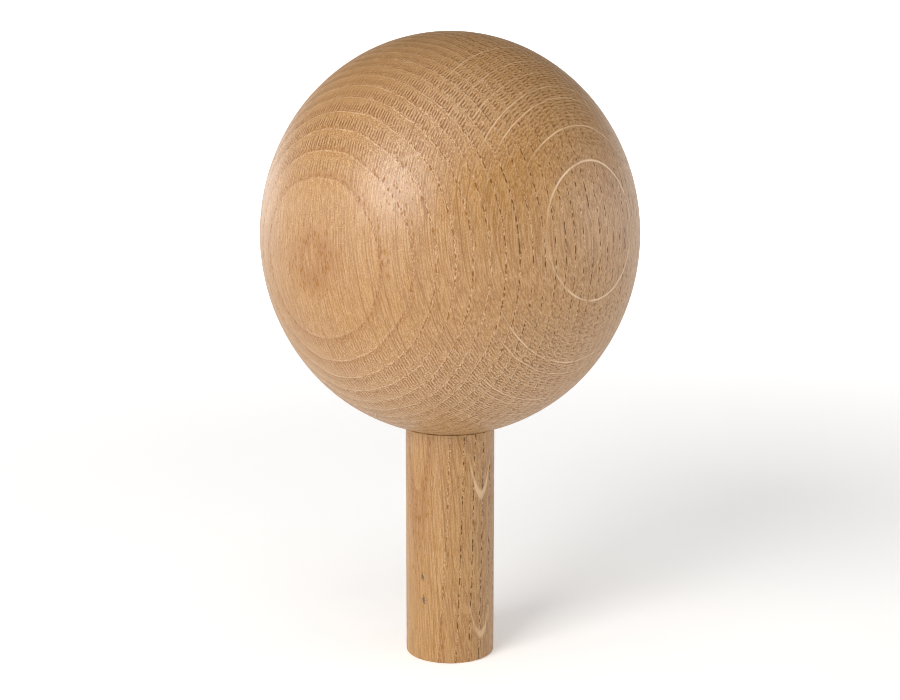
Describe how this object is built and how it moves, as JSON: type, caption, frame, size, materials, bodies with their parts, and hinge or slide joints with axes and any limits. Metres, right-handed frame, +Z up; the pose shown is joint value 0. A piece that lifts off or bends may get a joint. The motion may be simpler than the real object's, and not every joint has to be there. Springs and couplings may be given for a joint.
{
  "type": "carving mallet",
  "caption": "Small hand mallet with a turned oak ball for a head on a short straight round oak handle, fitted by a fox-wedged blind tenon.",
  "frame": {"origin": "centre of the handle's flat free end, which is the middle of the bottom of the bounding box", "axes": "+Z up the handle's axis towards the head, which is the mallet's axis of turning. The fox wedge's flat sides face +X and -X. The side shown in the reference view faces -Y"},
  "size_m": [0.1, 0.1, 0.1674],
  "materials": {
    "head_oak": "fine sanded, satin, unstained pale oak",
    "handle_oak": "fine sanded, satin, unstained pale oak",
    "wedge_oak": "sawn, split along the grain",
    "glue": "dried wood glue"
  },
  "bodies": {
    "root": {"head": "head_oak", "handle": "handle_oak", "fox_wedge": "wedge_oak", "glue_film": "glue"}
  },
  "joints": []
}
